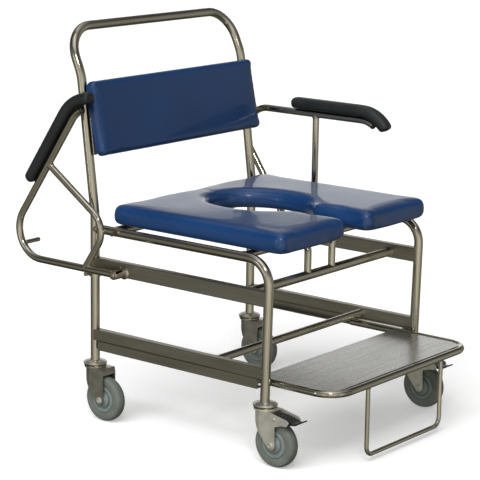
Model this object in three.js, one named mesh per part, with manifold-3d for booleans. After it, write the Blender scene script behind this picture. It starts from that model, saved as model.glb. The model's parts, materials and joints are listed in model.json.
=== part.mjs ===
// Wide mobile shower commode chair in stainless steel tube: a bent rear hoop that is also the push
// handle, two bent side tubes, side rails, a sliding footrest on channels, a padded horseshoe seat, a
// padded backrest, two swing-back arms and four swivel castors, the front two with brakes.
//
// Millimetres. +Z is up, the user faces -Y and the user's left is +X. The origin is on the floor under
// the middle of the overall box. Inside the chair group, Y is measured from the rear posts.
import * as THREE from 'three';
import { mergeVertices } from 'three/addons/utils/BufferGeometryUtils.js';
import Module from 'manifold-3d';

const wasm = await Module();
wasm.setup();

// ---------------------------------------------------------------- driving dimensions
const GAP = 0.3;                  // between pieces that touch
const REAR_Y = 275;               // the rear posts, from the origin

const HALF_WIDTH = 343;           // centre plane to the centre of each side frame
const DEPTH = 602;                // rear post to front leg at seat height, centre to centre
const TUBE = 25.4;                // main frame tube
const LEG_FOOT_Z = 168;           // bottom end of the posts and legs, on the castor heads
const LEG_LEAN = 8.4;             // the front legs' feet stand this far behind their tops

const LEAN_START_Z = 575;         // the posts start to lean back here
const POST_LEAN = 0.13;           // rise to run, along the backrest
const HANDLE_START_Z = 952;       // the push handle bends back further here
const HANDLE_LEAN = 0.45;
const HANDLE_Z = 1073;            // push bar centre
const HANDLE_RADIUS = 88;

const SEAT_RAIL_Z = 537;          // centre of the side tube's seat stretch
const FRONT_BEND = 66;
const RAIL_WIDTH = 24.4;           // rectangular side rails, across the chair
const UPPER_RAIL = { top: 458, bottom: 418 };
const LOWER_RAIL = { top: 256, bottom: 225.3 };
const CHANNEL = { top: 225, bottom: 199, wall: 3, lip: 331.5, rear: -20, front: -574 };

const CROSS_UPPER = { y: -507, z: 435, d: 25.4 };
const CROSS_LOWER = { y: -420, z: 243, d: 22 };
const CROSS_SEAT = { y: -60, z: 534.4, d: 25.4 };
const HOOP = { x: 54.5, z: 537, d: 20, radius: 40 };

const SEAT = { half: 334, front: -631, rear: -48, bottom: 560, top: 600, corner: 18 };
const APERTURE = { y: -301, rx: 127, ry: 155, mouth: 48 };
const SEAT_BOARD = { inset: 48, rearInset: 10, bottom: 550.6, top: 559.7 };

const BACK = { half: 344, aside: -8, topY: 4.5, topZ: 939, bottomY: -38, bottomZ: 740, cushion: 20.5, board: 6 };

const ARM = {
  x: 386, pivotY: -116, pivotZ: 432, swing: 55.8,      // swing in degrees, in use to swung back
  tube: 20, brace: 19, height: 357.5, rise: 124.2,     // rise: the lower stretch's angle from forward
  rearBend: 80, braceY: 85, braceZ: 95, braceBend: 62, padFrom: 3, padTo: 245, curl: 55, tubeCurl: 32,
};
const PAD = { width: 46, height: 33 };

const FOOTREST = { x: 318, z: 212, d: 19, front: -795, rear: -395, radius: 66 };
const FOOT_PLATE = { top: 218.5, front: -780, rear: -547, flange: 14, sheet: 2.5 };
const ANTI_TIP = { x: 172, z: 21, d: 12, radius: 24 };

const WHEEL_R = 62.5;
const TRAIL = 39;                 // swivel axis to wheel axle
const CHEEK = { inner: 24, outer: 27 };
const PEDAL_PIVOT = { u: 48, z: 135 };   // u is the distance ahead of the swivel axis
const PEDAL_HALF = 19;

const STEEL = { color: 0x9c978b, roughness: 0.24, metalness: 1 };
const BRUSHED = { color: 0x98968f, roughness: 0.42, metalness: 1 };
const BLACK = { color: 0x15171a, roughness: 0.55, metalness: 0 };
const VINYL = { color: 0x123a78, roughness: 0.2, metalness: 0 };
const TYRE = { color: 0x737d76, roughness: 0.7, metalness: 0 };
const HUB = { color: 0x8b9b9a, roughness: 0.45, metalness: 0 };
const NYLON = { color: 0xd8d6ce, roughness: 0.5, metalness: 0 };

// ---------------------------------------------------------------- shape helpers
const V = (x, y, z) => new THREE.Vector3(x, y, z);
const rad = THREE.MathUtils.degToRad;

// A tube's centre line: straight runs between corners, each inner corner rounded to a bend radius.
class BentPath extends THREE.Curve {
  constructor(corners, radius) {
    super();
    const aim = (a, b) => b.clone().sub(a).normalize();
    this.points = [corners[0].clone()];
    this.tangents = [aim(corners[0], corners[1])];
    for (let i = 1; i < corners.length - 1; i++) {
      const bend = Array.isArray(radius) ? radius[i - 1] : radius;
      const before = aim(corners[i - 1], corners[i]);
      const after = aim(corners[i], corners[i + 1]);
      const turn = before.angleTo(after);
      const inward = after.clone().addScaledVector(before, -before.dot(after)).normalize();
      const centre = corners[i].clone()
        .addScaledVector(before, -bend * Math.tan(turn / 2))
        .addScaledVector(inward, bend);
      const steps = Math.max(2, Math.round(turn / rad(15)));
      for (let s = 0; s <= steps; s++) {
        const a = (turn * s) / steps;
        this.points.push(centre.clone()
          .addScaledVector(inward, -bend * Math.cos(a))
          .addScaledVector(before, bend * Math.sin(a)));
        this.tangents.push(before.clone().multiplyScalar(Math.cos(a))
          .addScaledVector(inward, Math.sin(a)));
      }
    }
    const last = corners.length - 1;
    this.points.push(corners[last].clone());
    this.tangents.push(aim(corners[last - 1], corners[last]));
  }

  get steps() {
    return this.points.length - 1;
  }

  getPointAt(u, target = V(0, 0, 0)) {
    return target.copy(this.points[Math.round(u * this.steps)]);
  }

  getTangentAt(u, target = V(0, 0, 0)) {
    return target.copy(this.tangents[Math.round(u * this.steps)]);
  }
}

function sweep(shape, path, curveSegments = 6) {
  return new THREE.ExtrudeGeometry(shape, {
    steps: path.steps, curveSegments, bevelEnabled: false, extrudePath: path,
  });
}

function circle(d) {
  return new THREE.Shape().absarc(0, 0, d / 2, 0, Math.PI * 2, false);
}

function tube(corners, radius, d, curveSegments = 6) {
  return sweep(circle(d), new BentPath(corners, radius), curveSegments);
}

function roundedRect(w, h, r) {
  const shape = new THREE.Shape();
  shape.absarc(w / 2 - r, h / 2 - r, r, 0, Math.PI / 2, false);
  shape.absarc(-w / 2 + r, h / 2 - r, r, Math.PI / 2, Math.PI, false);
  shape.absarc(-w / 2 + r, -h / 2 + r, r, Math.PI, Math.PI * 1.5, false);
  shape.absarc(w / 2 - r, -h / 2 + r, r, Math.PI * 1.5, Math.PI * 2, false);
  return shape;
}

function polygon(points) {
  return new THREE.Shape(points.map(([x, y]) => new THREE.Vector2(x, y)));
}

// Extrudes an outline drawn in (distance forward, height) across the chair, centred on x = 0.
function acrossX(shape, width, curveSegments = 6) {
  const geometry = new THREE.ExtrudeGeometry(shape, { depth: width, bevelEnabled: false, curveSegments });
  return geometry.translate(0, 0, -width / 2).rotateX(Math.PI / 2).rotateZ(-Math.PI / 2);
}

// Turns a profile of [radius, height] points about the Z axis.
function turned(profile, segments) {
  const points = profile.map(([r, z]) => new THREE.Vector2(r, z));
  return new THREE.LatheGeometry(points, segments).rotateX(Math.PI / 2);
}

// The same about the X axis, for wheels and axles.
function turnedAboutX(profile, segments) {
  return turned(profile, segments).rotateY(Math.PI / 2);
}

function toSolid(geometry) {
  const bare = geometry.clone();
  bare.deleteAttribute('normal');
  bare.deleteAttribute('uv');
  const merged = mergeVertices(bare, 1e-4);
  return new wasm.Manifold(new wasm.Mesh({
    numProp: 3,
    vertProperties: new Float32Array(merged.attributes.position.array),
    triVerts: new Uint32Array(merged.index.array),
  }));
}

function toGeometry(solid) {
  const mesh = solid.getMesh();
  const geometry = new THREE.BufferGeometry();
  geometry.setAttribute('position', new THREE.BufferAttribute(new Float32Array(mesh.vertProperties), 3));
  geometry.setIndex(new THREE.BufferAttribute(new Uint32Array(mesh.triVerts), 1));
  return geometry;
}

function cut(geometry, ...cutters) {
  return toGeometry(cutters.reduce((solid, cutter) => solid.subtract(toSolid(cutter)), toSolid(geometry)));
}

function join(...geometries) {
  return toGeometry(geometries.slice(1).reduce((solid, g) => solid.add(toSolid(g)), toSolid(geometries[0])));
}

function common(a, b) {
  return toGeometry(toSolid(a).intersect(toSolid(b)));
}

function rod(from, to, d, curveSegments = 6) {
  return tube([from, to], 0, d, curveSegments);
}

const root = new THREE.Group();
const chair = new THREE.Group();
chair.position.y = REAR_Y;
root.add(chair);

function piece(parent, name, geometry, finish, at = V(0, 0, 0)) {
  const mesh = new THREE.Mesh(geometry, new THREE.MeshStandardMaterial(finish));
  mesh.name = name;
  mesh.position.copy(at);
  parent.add(mesh);
  return mesh;
}

const SIDES = [['left', 1], ['right', -1]];

// ---------------------------------------------------------------- bent frame tubes
// The rear hoop: posts straight to seat height, leaning along the backrest, then bent back into the
// push handle. The castor stems plug into its two open ends.
const postY = (z) => Math.max(0, z - LEAN_START_Z) * POST_LEAN;
const handleFootY = postY(HANDLE_START_Z);
const handleY = handleFootY + (HANDLE_Z - HANDLE_START_Z) * HANDLE_LEAN;
const stemBore = (x, y) => rod(V(x, y, LEG_FOOT_Z - 1), V(x, y, LEG_FOOT_Z + 42), 21.4, 8);

const hoopCorners = (d) => tube([
  V(-HALF_WIDTH, 0, LEG_FOOT_Z),
  V(-HALF_WIDTH, 0, LEAN_START_Z),
  V(-HALF_WIDTH, handleFootY, HANDLE_START_Z),
  V(-HALF_WIDTH, handleY, HANDLE_Z),
  V(HALF_WIDTH, handleY, HANDLE_Z),
  V(HALF_WIDTH, handleFootY, HANDLE_START_Z),
  V(HALF_WIDTH, 0, LEAN_START_Z),
  V(HALF_WIDTH, 0, LEG_FOOT_Z),
], [260, 140, HANDLE_RADIUS, HANDLE_RADIUS, 140, 260], d);
piece(chair, 'rear_hoop_tube',
  cut(hoopCorners(TUBE), stemBore(-HALF_WIDTH, 0), stemBore(HALF_WIDTH, 0)), STEEL);

// Each side tube is the seat rail, the front bend and the front leg in one piece, welded to its post.
const legTopY = -DEPTH;
const legFootY = legTopY + LEG_LEAN;
const legLean = LEG_LEAN / (SEAT_RAIL_Z - LEG_FOOT_Z);
const legY = (z) => legTopY + (SEAT_RAIL_Z - z) * legLean;
const sideTube = (x, d) => tube([
  V(x, 0, SEAT_RAIL_Z),
  V(x, legTopY, SEAT_RAIL_Z),
  V(x, legFootY, LEG_FOOT_Z),
], FRONT_BEND, d);
const postCutter = (x) => rod(V(x, 0, 100), V(x, 0, 560), TUBE + 2 * GAP);

for (const [side, s] of SIDES) {
  const x = s * HALF_WIDTH;
  const legBore = rod(V(x, legFootY, LEG_FOOT_Z - 1), V(x, legFootY, LEG_FOOT_Z + 42), 21.4, 8);
  piece(chair, `side_tube_${side}`, cut(sideTube(x, TUBE), postCutter(x), legBore), STEEL);
}

// ---------------------------------------------------------------- side rails and footrest channels
// Rectangular rails between post and leg, their ends cut to fit round the tubes. The channel under
// the lower rail is open inwards, and the footrest's shoes slide in it.
function sideRail(x, { top, bottom }) {
  const mid = (top + bottom) / 2;
  const bar = new THREE.ExtrudeGeometry(roundedRect(RAIL_WIDTH, top - bottom, 2.5), {
    depth: -legY(mid), bevelEnabled: false, curveSegments: 2,
  });
  bar.rotateX(Math.PI / 2).translate(x, 0, mid);
  return cut(bar, postCutter(x), sideTube(x, TUBE + 2 * GAP));
}

function slideChannel(s) {
  const web = HALF_WIDTH + RAIL_WIDTH / 2;
  const { top, bottom, wall, lip, rear, front } = CHANNEL;
  const outline = polygon([
    [lip, bottom], [web, bottom], [web, top], [lip, top],
    [lip, top - wall], [web - wall, top - wall], [web - wall, bottom + wall], [lip, bottom + wall],
  ]);
  const bar = new THREE.ExtrudeGeometry(outline, { depth: rear - front, bevelEnabled: false });
  bar.rotateX(Math.PI / 2).translate(0, rear, 0);
  return s > 0 ? bar : bar.rotateZ(Math.PI).translate(0, rear + front, 0);
}

for (const [side, s] of SIDES) {
  const x = s * HALF_WIDTH;
  piece(chair, `upper_side_rail_${side}`, sideRail(x, UPPER_RAIL), BRUSHED);
  piece(chair, `lower_side_rail_${side}`, sideRail(x, LOWER_RAIL), BRUSHED);
  piece(chair, `slide_channel_${side}`, slideChannel(s), BRUSHED);
}

// ---------------------------------------------------------------- cross tubes and seat supports
const railInner = HALF_WIDTH - RAIL_WIDTH / 2 - GAP;
const crossTube = ({ y, z, d }, reach) => rod(V(-reach, y, z), V(reach, y, z), d);
const sideCutters = [1, -1].map((s) => sideTube(s * HALF_WIDTH, TUBE + 2 * GAP));

piece(chair, 'upper_cross_tube', crossTube(CROSS_UPPER, railInner), STEEL);
piece(chair, 'lower_cross_tube', crossTube(CROSS_LOWER, railInner), STEEL);
piece(chair, 'rear_seat_cross_tube', cut(crossTube(CROSS_SEAT, HALF_WIDTH), ...sideCutters), STEEL);

// Each hoop rises from the upper cross tube beside the seat's mouth and turns out under the seat.
for (const [side, s] of SIDES) {
  const { y, z } = CROSS_UPPER;
  const hoop = tube([V(s * HOOP.x, y, z), V(s * HOOP.x, y, HOOP.z), V(s * HALF_WIDTH, y, HOOP.z)],
    HOOP.radius, HOOP.d);
  const crossCutter = crossTube({ y, z, d: CROSS_UPPER.d + 2 * GAP }, railInner);
  piece(chair, `seat_support_hoop_${side}`, cut(hoop, crossCutter, ...sideCutters), STEEL);
}

// ---------------------------------------------------------------- seat
// A horseshoe outline, open at the front. inset shrinks it for the board under the cushion, which
// still reaches the rear cross tube.
function seatOutline(inset, rearInset = inset) {
  const half = SEAT.half - inset;
  const front = SEAT.front + inset;
  const rear = SEAT.rear - rearInset;
  const corner = SEAT.corner - Math.min(inset / 2, 14);
  const mouth = APERTURE.mouth + inset;
  const rx = APERTURE.rx + inset;
  const ry = APERTURE.ry + inset;
  const lip = 18;
  const meet = Math.asin(mouth / rx);
  const shape = new THREE.Shape();
  shape.moveTo(mouth + lip, front);
  shape.lineTo(half - corner, front);
  shape.absarc(half - corner, front + corner, corner, -Math.PI / 2, 0, false);
  shape.absarc(half - corner, rear - corner, corner, 0, Math.PI / 2, false);
  shape.absarc(-half + corner, rear - corner, corner, Math.PI / 2, Math.PI, false);
  shape.absarc(-half + corner, front + corner, corner, Math.PI, Math.PI * 1.5, false);
  shape.lineTo(-mouth - lip, front);
  shape.absarc(-mouth - lip, front + lip, lip, -Math.PI / 2, 0, false);
  shape.absellipse(0, APERTURE.y, rx, ry, -Math.PI / 2 - meet, -Math.PI / 2 + meet, true, 0);
  shape.absarc(mouth + lip, front + lip, lip, Math.PI, Math.PI * 1.5, false);
  return shape;
}

const CUSHION_EDGE = 7;
const seatCushion = new THREE.ExtrudeGeometry(seatOutline(CUSHION_EDGE), {
  depth: SEAT.top - SEAT.bottom - 2 * CUSHION_EDGE, curveSegments: 16,
  bevelSize: CUSHION_EDGE, bevelThickness: CUSHION_EDGE, bevelSegments: 1,
});
piece(chair, 'seat_cushion', seatCushion, VINYL, V(0, 0, SEAT.bottom + CUSHION_EDGE));

const seatBoard = new THREE.ExtrudeGeometry(seatOutline(SEAT_BOARD.inset, SEAT_BOARD.rearInset), {
  depth: SEAT_BOARD.top - SEAT_BOARD.bottom, curveSegments: 5, bevelEnabled: false,
});
piece(chair, 'seat_base_board', seatBoard, BLACK, V(0, 0, SEAT_BOARD.bottom));

// ---------------------------------------------------------------- backrest
// A padded board, tilted a little more than the posts, on a black bracket at each side. It is screwed
// on a little to the user's right.
const backTilt = Math.atan2(BACK.topY - BACK.bottomY, BACK.topZ - BACK.bottomZ);
const backHeight = Math.hypot(BACK.topY - BACK.bottomY, BACK.topZ - BACK.bottomZ);
const backrest = new THREE.Group();
backrest.position.set(BACK.aside, (BACK.topY + BACK.bottomY) / 2, (BACK.topZ + BACK.bottomZ) / 2);
backrest.rotation.x = -backTilt;
chair.add(backrest);

const BACK_EDGE = 5;
const backCushion = new THREE.ExtrudeGeometry(
  roundedRect(2 * (BACK.half - BACK_EDGE), backHeight - 2 * BACK_EDGE, 9), {
    depth: BACK.cushion - 2 * BACK_EDGE, curveSegments: 3,
    bevelSize: BACK_EDGE, bevelThickness: BACK_EDGE, bevelSegments: 2,
  }).rotateX(Math.PI / 2);
piece(backrest, 'backrest_cushion', backCushion, VINYL, V(0, BACK.cushion - BACK_EDGE, 0));

const backBoard = new THREE.ExtrudeGeometry(roundedRect(2 * (BACK.half - 5), backHeight - 14, 9), {
  depth: BACK.board, curveSegments: 3, bevelEnabled: false,
}).rotateX(Math.PI / 2);
piece(backrest, 'backrest_board', backBoard, BLACK, V(0, BACK.cushion + GAP + BACK.board, 0));

// The bracket's strap lies along the post's front, and its foot holds the bottom of the board out.
function bracketOutline() {
  const strap = 4;
  const boardRear = BACK.cushion + BACK.board + 2 * GAP;
  const postFront = (z) => postY(z) - (TUBE / 2) * Math.hypot(1, POST_LEAN) - GAP;
  const rearOf = (z) => BACK.bottomY + (z - BACK.bottomZ) * Math.tan(backTilt)
    + boardRear / Math.cos(backTilt);
  const forward = (y) => -y;
  const low = 736;
  const foot = 760;
  const high = 925;
  const thin = (z) => Math.max(postFront(z) - strap, rearOf(z));
  return polygon([
    [forward(postFront(low)), low],
    [forward(rearOf(low + 8)), low + 8],
    [forward(rearOf(foot)), foot],
    [forward(thin(foot)), foot + 6],
    [forward(thin(high)), high],
    [forward(postFront(high)), high],
  ]);
}

const STRAP_WIDTH = 9;
for (const [side, s] of SIDES) {
  piece(chair, `backrest_bracket_${side}`, acrossX(bracketOutline(), STRAP_WIDTH), BLACK,
    V(s * (HALF_WIDTH - 9), 0, 0));
}

// ---------------------------------------------------------------- swing-back arms
// Each arm turns about a spindle on the upper rail, outboard of the side frame. It is drawn in use,
// in (distance forward, height) from the spindle.
const armPoint = (f, h) => V(0, -f, h);
const lowRun = rad(ARM.rise);
const rearCorner = armPoint(ARM.height / Math.tan(lowRun), ARM.height);
const frontCorner = (radius, height, turn) => armPoint(ARM.padTo + radius * Math.tan(turn / 2), height);
const curlCentre = ARM.height - ARM.rearBend;

function curlEnd(radius, turn) {
  return armPoint(ARM.padTo + radius * Math.sin(turn), curlCentre + radius * Math.cos(turn));
}

const SLEEVE = { outer: 12, bore: 8.4, length: 24 };
const armTube = (d) => tube([
  armPoint(0, 0), rearCorner,
  frontCorner(ARM.rearBend, ARM.height, rad(ARM.tubeCurl)),
  curlEnd(ARM.rearBend, rad(ARM.tubeCurl)),
], [ARM.rearBend, ARM.rearBend - 0.01], d);
const sleeveBore = rod(V(-30, 0, 0), V(30, 0, 0), 2 * SLEEVE.bore, 8);
const armCutter = armTube(ARM.tube + 2 * GAP);

const padRadius = ARM.rearBend + ARM.tube / 2 + 1.2 + PAD.height / 2;
const padHeight = curlCentre + padRadius;
const padTurn = rad(ARM.curl);
const padPath = new BentPath([
  armPoint(ARM.padFrom, padHeight),
  frontCorner(padRadius, padHeight, padTurn),
  curlEnd(padRadius, padTurn),
], padRadius - 0.01);

function padSection() {
  const w = PAD.width / 2;
  const h = PAD.height / 2;
  const outline = [[h, w - 8], [h - 8, w], [-h + 5, w], [-h, w - 5]];
  const mirrored = outline.map(([a, b]) => [a, -b]).reverse();
  return polygon([...outline, ...mirrored]);
}

// The stop pin lands on the back of the rear post when the arm is in use.
const pinAngle = rad(157);
const rearBendCentre = ARM.height / Math.tan(lowRun) + ARM.rearBend * Math.tan(lowRun / 2);
const pinAt = armPoint(
  rearBendCentre + ARM.rearBend * Math.cos(pinAngle),
  curlCentre + ARM.rearBend * Math.sin(pinAngle));

for (const [side, s] of SIDES) {
  const arm = new THREE.Group();
  arm.position.set(s * ARM.x, ARM.pivotY, ARM.pivotZ);
  arm.rotation.x = side === 'right' ? -rad(ARM.swing) : 0;
  chair.add(arm);

  // One welding: the bent tube, the sleeve on the spindle and the stop pin.
  const sleeve = turnedAboutX([
    [0, -SLEEVE.length / 2], [SLEEVE.outer, -SLEEVE.length / 2],
    [SLEEVE.outer, SLEEVE.length / 2], [0, SLEEVE.length / 2],
  ], 16);
  const pin = turnedAboutX([[0, 0], [6, 0], [6, 62], [4.5, 64], [0, 64.5]], 10);
  if (s > 0) pin.rotateZ(Math.PI);
  pin.translate(0, pinAt.y, pinAt.z);
  piece(arm, `arm_tube_${side}`, cut(join(armTube(ARM.tube), sleeve, pin), sleeveBore), STEEL);
  const brace = tube([
    armPoint(ARM.braceY, ARM.height),
    armPoint(ARM.braceY, ARM.braceZ),
    armPoint(ARM.braceZ / Math.tan(lowRun), ARM.braceZ),
  ], ARM.braceBend, ARM.brace);
  piece(arm, `arm_brace_${side}`, cut(brace, armCutter), STEEL);
  piece(arm, `arm_pad_${side}`, sweep(padSection(), padPath, 2), BLACK);
  const plugAt = curlEnd(ARM.rearBend, rad(ARM.tubeCurl));
  const plug = turned([[0, 0], [9, 0], [9, 4], [7, 6.5], [0, 7]], 12);
  plug.rotateX(Math.PI / 2 + rad(ARM.tubeCurl));
  plug.translate(0, -GAP * Math.cos(rad(ARM.tubeCurl)), -GAP * Math.sin(rad(ARM.tubeCurl)));
  piece(arm, `arm_end_plug_${side}`, plug, BLACK, plugAt);

  // Spindle with its flange on the rail's outer face and its bolt head outside the sleeve.
  const face = HALF_WIDTH + RAIL_WIDTH / 2 + GAP - ARM.x;
  const head = SLEEVE.length / 2 + GAP;
  const spindle = turnedAboutX([
    [0, face], [17, face], [17, face + 3.5], [8, face + 5], [8, head], [10.5, head],
    [10.5, head + 5], [8.5, head + 7], [0, head + 7],
  ], 16);
  if (s < 0) spindle.rotateZ(Math.PI);
  piece(chair, `arm_spindle_${side}`, spindle, STEEL, V(s * ARM.x, ARM.pivotY, ARM.pivotZ));

  // Collar on the rear post with a peg that the swung-back arm rests on.
  const pegZ = ARM.pivotZ - ARM.tube / 2 - 6 - 0.6;
  const collar = turned([[12, -12], [16, -12], [16, 2], [12, 2], [12, -12]], 16);
  const peg = turnedAboutX([[0, 0], [6, 0], [6, 40], [4.5, 41.5], [0, 41.5]], 10);
  if (s < 0) peg.rotateZ(Math.PI);
  const postClearance = rod(V(0, 0, -30), V(0, 0, 30), TUBE + 2 * GAP);
  piece(chair, `arm_rest_collar_${side}`, cut(join(collar, peg), postClearance), STEEL,
    V(s * HALF_WIDTH, 0, pegZ));
}

// ---------------------------------------------------------------- sliding footrest
const footTube = (d) => tube([
  V(-FOOTREST.x, FOOTREST.rear, FOOTREST.z),
  V(-FOOTREST.x, FOOTREST.front, FOOTREST.z),
  V(FOOTREST.x, FOOTREST.front, FOOTREST.z),
  V(FOOTREST.x, FOOTREST.rear, FOOTREST.z),
], FOOTREST.radius, d);
const footCutter = footTube(FOOTREST.d + 2 * GAP);
piece(chair, 'footrest_tube', footTube(FOOTREST.d), STEEL);

// Folded sheet between the tube's arms, its front corners rounded to follow the bends.
const plateHalf = FOOTREST.x;
const plateDepth = FOOT_PLATE.rear - FOOT_PLATE.front;
const plateMid = (FOOT_PLATE.rear + FOOT_PLATE.front) / 2;
const { sheet, flange, top: plateTop } = FOOT_PLATE;
const plateSection = polygon([
  [-plateDepth / 2, plateTop - flange], [-plateDepth / 2 + sheet, plateTop - flange],
  [-plateDepth / 2 + sheet, plateTop - sheet], [plateDepth / 2 - sheet, plateTop - sheet],
  [plateDepth / 2 - sheet, plateTop - flange], [plateDepth / 2, plateTop - flange],
  [plateDepth / 2, plateTop], [-plateDepth / 2, plateTop],
]);
const plateOutline = new THREE.Shape();
plateOutline.moveTo(plateHalf, FOOT_PLATE.rear + 10);
plateOutline.lineTo(-plateHalf, FOOT_PLATE.rear + 10);
plateOutline.absarc(-plateHalf + FOOTREST.radius, FOOTREST.front + FOOTREST.radius, FOOTREST.radius,
  Math.PI, Math.PI * 1.5, false);
plateOutline.absarc(plateHalf - FOOTREST.radius, FOOTREST.front + FOOTREST.radius, FOOTREST.radius,
  Math.PI * 1.5, Math.PI * 2, false);
const plateBlock = new THREE.ExtrudeGeometry(plateOutline, {
  depth: 60, bevelEnabled: false, curveSegments: 3,
}).translate(0, 0, FOOTREST.z - 30);
const plateSheet = acrossX(plateSection, 2 * plateHalf + 4).translate(0, plateMid, 0);
piece(chair, 'footrest_plate', cut(common(plateSheet, plateBlock), footCutter), BRUSHED);

// Rod loop under the front tube: the chair lands on it before it can tip forward.
const loop = tube([
  V(-ANTI_TIP.x, FOOTREST.front, FOOTREST.z),
  V(-ANTI_TIP.x, FOOTREST.front, ANTI_TIP.z),
  V(ANTI_TIP.x, FOOTREST.front, ANTI_TIP.z),
  V(ANTI_TIP.x, FOOTREST.front, FOOTREST.z),
], ANTI_TIP.radius, ANTI_TIP.d, 5);
piece(chair, 'anti_tip_loop', cut(loop, footCutter), STEEL);

// Nylon shoes on the tube's arms run in the side channels.
for (const [side, s] of SIDES) {
  const inner = FOOTREST.x + FOOTREST.d / 2 + GAP;
  const outer = HALF_WIDTH + RAIL_WIDTH / 2 - CHANNEL.wall - GAP;
  const height = CHANNEL.top - CHANNEL.bottom - 2 * CHANNEL.wall - 2 * GAP;
  piece(chair, `slide_shoe_${side}`, new THREE.BoxGeometry(outer - inner, 150, height), NYLON,
    V((s * (inner + outer)) / 2, -485, FOOTREST.z));
}

// ---------------------------------------------------------------- castors
// The head is fixed in the tube end. The pressed fork is a U-shaped wall, round behind, trimmed to its
// side outline, under a flat crown. u is the distance ahead of the swivel axis.
const forkWall = (inner) => {
  const shape = new THREE.Shape();
  shape.moveTo(-inner, -120);
  shape.lineTo(inner, -120);
  shape.absarc(0, -2, inner, 0, Math.PI, false);
  shape.lineTo(-inner, -120);
  return shape;
};

function forkSide(braked) {
  const shape = new THREE.Shape();
  shape.moveTo(-30, 150);
  shape.lineTo(-28, 138);
  shape.lineTo(-6, 98);
  shape.lineTo(28, 56);
  shape.absarc(TRAIL, WHEEL_R, 12.5, Math.PI * 1.18, Math.PI * 2, false);
  shape.lineTo(50, 114);
  if (braked) {
    shape.lineTo(74, 122);
    shape.lineTo(88, 122);
    shape.lineTo(96, 133);
    shape.lineTo(89, 139);
    shape.lineTo(34, 150);
  } else {
    shape.lineTo(50, 138);
    shape.lineTo(47.9, 148);
    shape.lineTo(45, 150);
  }
  return shape;
}

function fork(braked) {
  const depth = 130;
  const outer = new THREE.ExtrudeGeometry(forkWall(CHEEK.outer), {
    depth, bevelEnabled: false, curveSegments: 5,
  }).translate(0, 0, 30);
  const inner = new THREE.ExtrudeGeometry(forkWall(CHEEK.inner), {
    depth, bevelEnabled: false, curveSegments: 5,
  }).translate(0, 0, 147 - depth);
  const shell = cut(common(outer, acrossX(forkSide(braked), 80, 3)), inner);
  const parts = [shell, turned([[0, 148], [30, 148], [30, 154], [27, 156.2], [0, 156.2]], 16)];
  if (!braked) {
    const web = new THREE.BoxGeometry(2 * CHEEK.outer - 1, 3, 17).translate(0, -46.4, 139.5);
    parts.push(web);
  }
  const holes = rod(V(-40, -TRAIL, WHEEL_R), V(40, -TRAIL, WHEEL_R), 12.6, 8);
  const tools = [holes];
  if (braked) {
    tools.push(rod(V(-40, -PEDAL_PIVOT.u, PEDAL_PIVOT.z), V(40, -PEDAL_PIVOT.u, PEDAL_PIVOT.z), 6.6, 4));
    tools.push(new THREE.BoxGeometry(2 * CHEEK.inner, 60, 40).translate(0, -34 - 30, 140));
  }
  return cut(join(...parts), ...tools);
}

// Black pedal over the wheel: a bent plate on its own cross pin, with a shoe that presses on the tyre.
function brakePedal() {
  const lever = acrossX(polygon([
    [37, 139], [37, 143], [60, 141], [86, 135.5], [102, 131.5], [108, 132], [121, 137.5], [123, 136],
    [121, 133.5], [110, 127.5], [100, 126], [88, 124.5], [78, 124.5], [68, 124.5], [62, 128], [52, 130],
    [42, 132],
  ]), 2 * PEDAL_HALF);
  const pin = turnedAboutX([[0, -29.5], [3, -29.5], [3, 29.5], [0, 29.5]], 8)
    .translate(0, -PEDAL_PIVOT.u, PEDAL_PIVOT.z);
  return join(lever, pin);
}

const tyreProfile = [
  [37.7, -15.5], [56, -15.5], [61, -11], [WHEEL_R, -4], [WHEEL_R, 4],
  [61, 11], [56, 15.5], [37.7, 15.5], [37.7, -15.5],
];
const hubProfile = [
  [6.4, -20], [14, -20], [22, -15], [23, -11], [27, -11], [28, -15.5], [37, -15.5],
  [37, 15.5], [28, 15.5], [27, 11], [23, 11], [22, 15], [14, 20], [6.4, 20], [6.4, -20],
];
const axleProfile = [
  [0, -31.5], [8, -31.5], [9.5, -30], [9.5, -27.3], [6, -27.3],
  [6, 27.3], [9.5, 27.3], [9.5, 30], [8, 31.5], [0, 31.5],
];
const headProfile = [
  [0, 156.5], [30, 156.5], [33, 158.5], [33, 161.5], [28, 165.5], [15, 167.7], [10, 167.7],
  [10, 206], [8.5, 208], [0, 208],
];

for (const [side, s] of SIDES) {
  for (const [end, y, braked] of [['front', legFootY, true], ['rear', 0, false]]) {
    const tag = `${end}_${side}`;
    const caster = new THREE.Group();
    caster.position.set(s * HALF_WIDTH, y, 0);
    chair.add(caster);
    piece(caster, `caster_head_${tag}`, turned(headProfile, 14), STEEL);
    piece(caster, `caster_fork_${tag}`, fork(braked), BRUSHED);
    const axle = V(0, -TRAIL, WHEEL_R);
    piece(caster, `caster_axle_${tag}`, turnedAboutX(axleProfile, 10), STEEL, axle);
    piece(caster, `caster_tyre_${tag}`, turnedAboutX(tyreProfile, 22), TYRE, axle);
    piece(caster, `caster_hub_${tag}`, turnedAboutX(hubProfile, 14), HUB, axle);
    if (braked) piece(caster, `brake_pedal_${tag}`, brakePedal(), BLACK);
  }
}

export default root;
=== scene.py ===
"""Wide shower commode chair: stainless tube frame, padded open-front seat and back, swing-back arms, sliding
footrest and four castors. +Z is up, the user faces -Y and the user's left is +X. Metres."""
import json
from math import atan2, cos, pi, radians, sin, tan

import bmesh
import bpy
from mathutils import Matrix, Vector


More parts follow.
